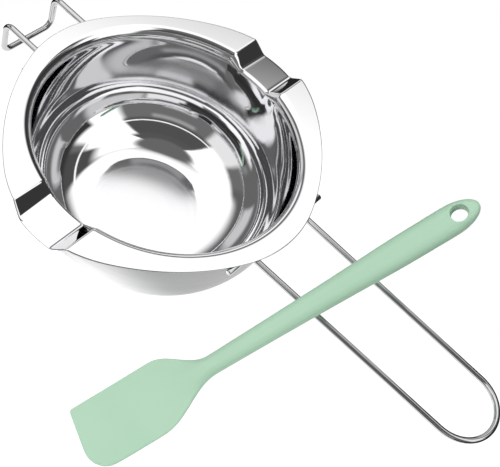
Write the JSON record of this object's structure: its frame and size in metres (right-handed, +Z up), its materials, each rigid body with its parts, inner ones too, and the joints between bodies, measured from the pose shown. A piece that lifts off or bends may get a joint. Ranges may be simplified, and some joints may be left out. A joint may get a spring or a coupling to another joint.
{
  "type": "candle wax melter",
  "caption": "Round steel melting bowl with pouring spouts, a wire loop handle and a wire pan rest, and a silicone spatula leaning on the handle.",
  "frame": {"origin": "middle of the bowl's flat base, on the table", "axes": "+X from the bowl along the long wire handle, the pan rest at -X, the pouring spouts at +Y and -Y, +Z up out of the bowl"},
  "size_m": [0.256, 0.1735, 0.1023],
  "materials": {
    "polished_steel": "polished stainless steel, mirror inside and satin outside",
    "wire_steel": "bright drawn stainless wire",
    "weld_steel": "dressed weld",
    "mint_silicone": "matt moulded silicone, pale mint",
    "core_nylon": "plain nylon rod"
  },
  "bodies": {
    "pot": {"bowl": "polished_steel", "handle_wire": "wire_steel", "handle_weld_right": "weld_steel", "handle_weld_left": "weld_steel", "pan_rest": "wire_steel", "pan_rest_weld_right": "weld_steel", "pan_rest_weld_left": "weld_steel"},
    "spatula": {"spatula": "mint_silicone", "spatula_core": "core_nylon"}
  },
  "joints": [
    {"name": "spatula_lift", "type": "slide", "parent": "pot", "child": "spatula", "axis": [0, 0, 1], "range_m": [0, 0.12]}
  ]
}
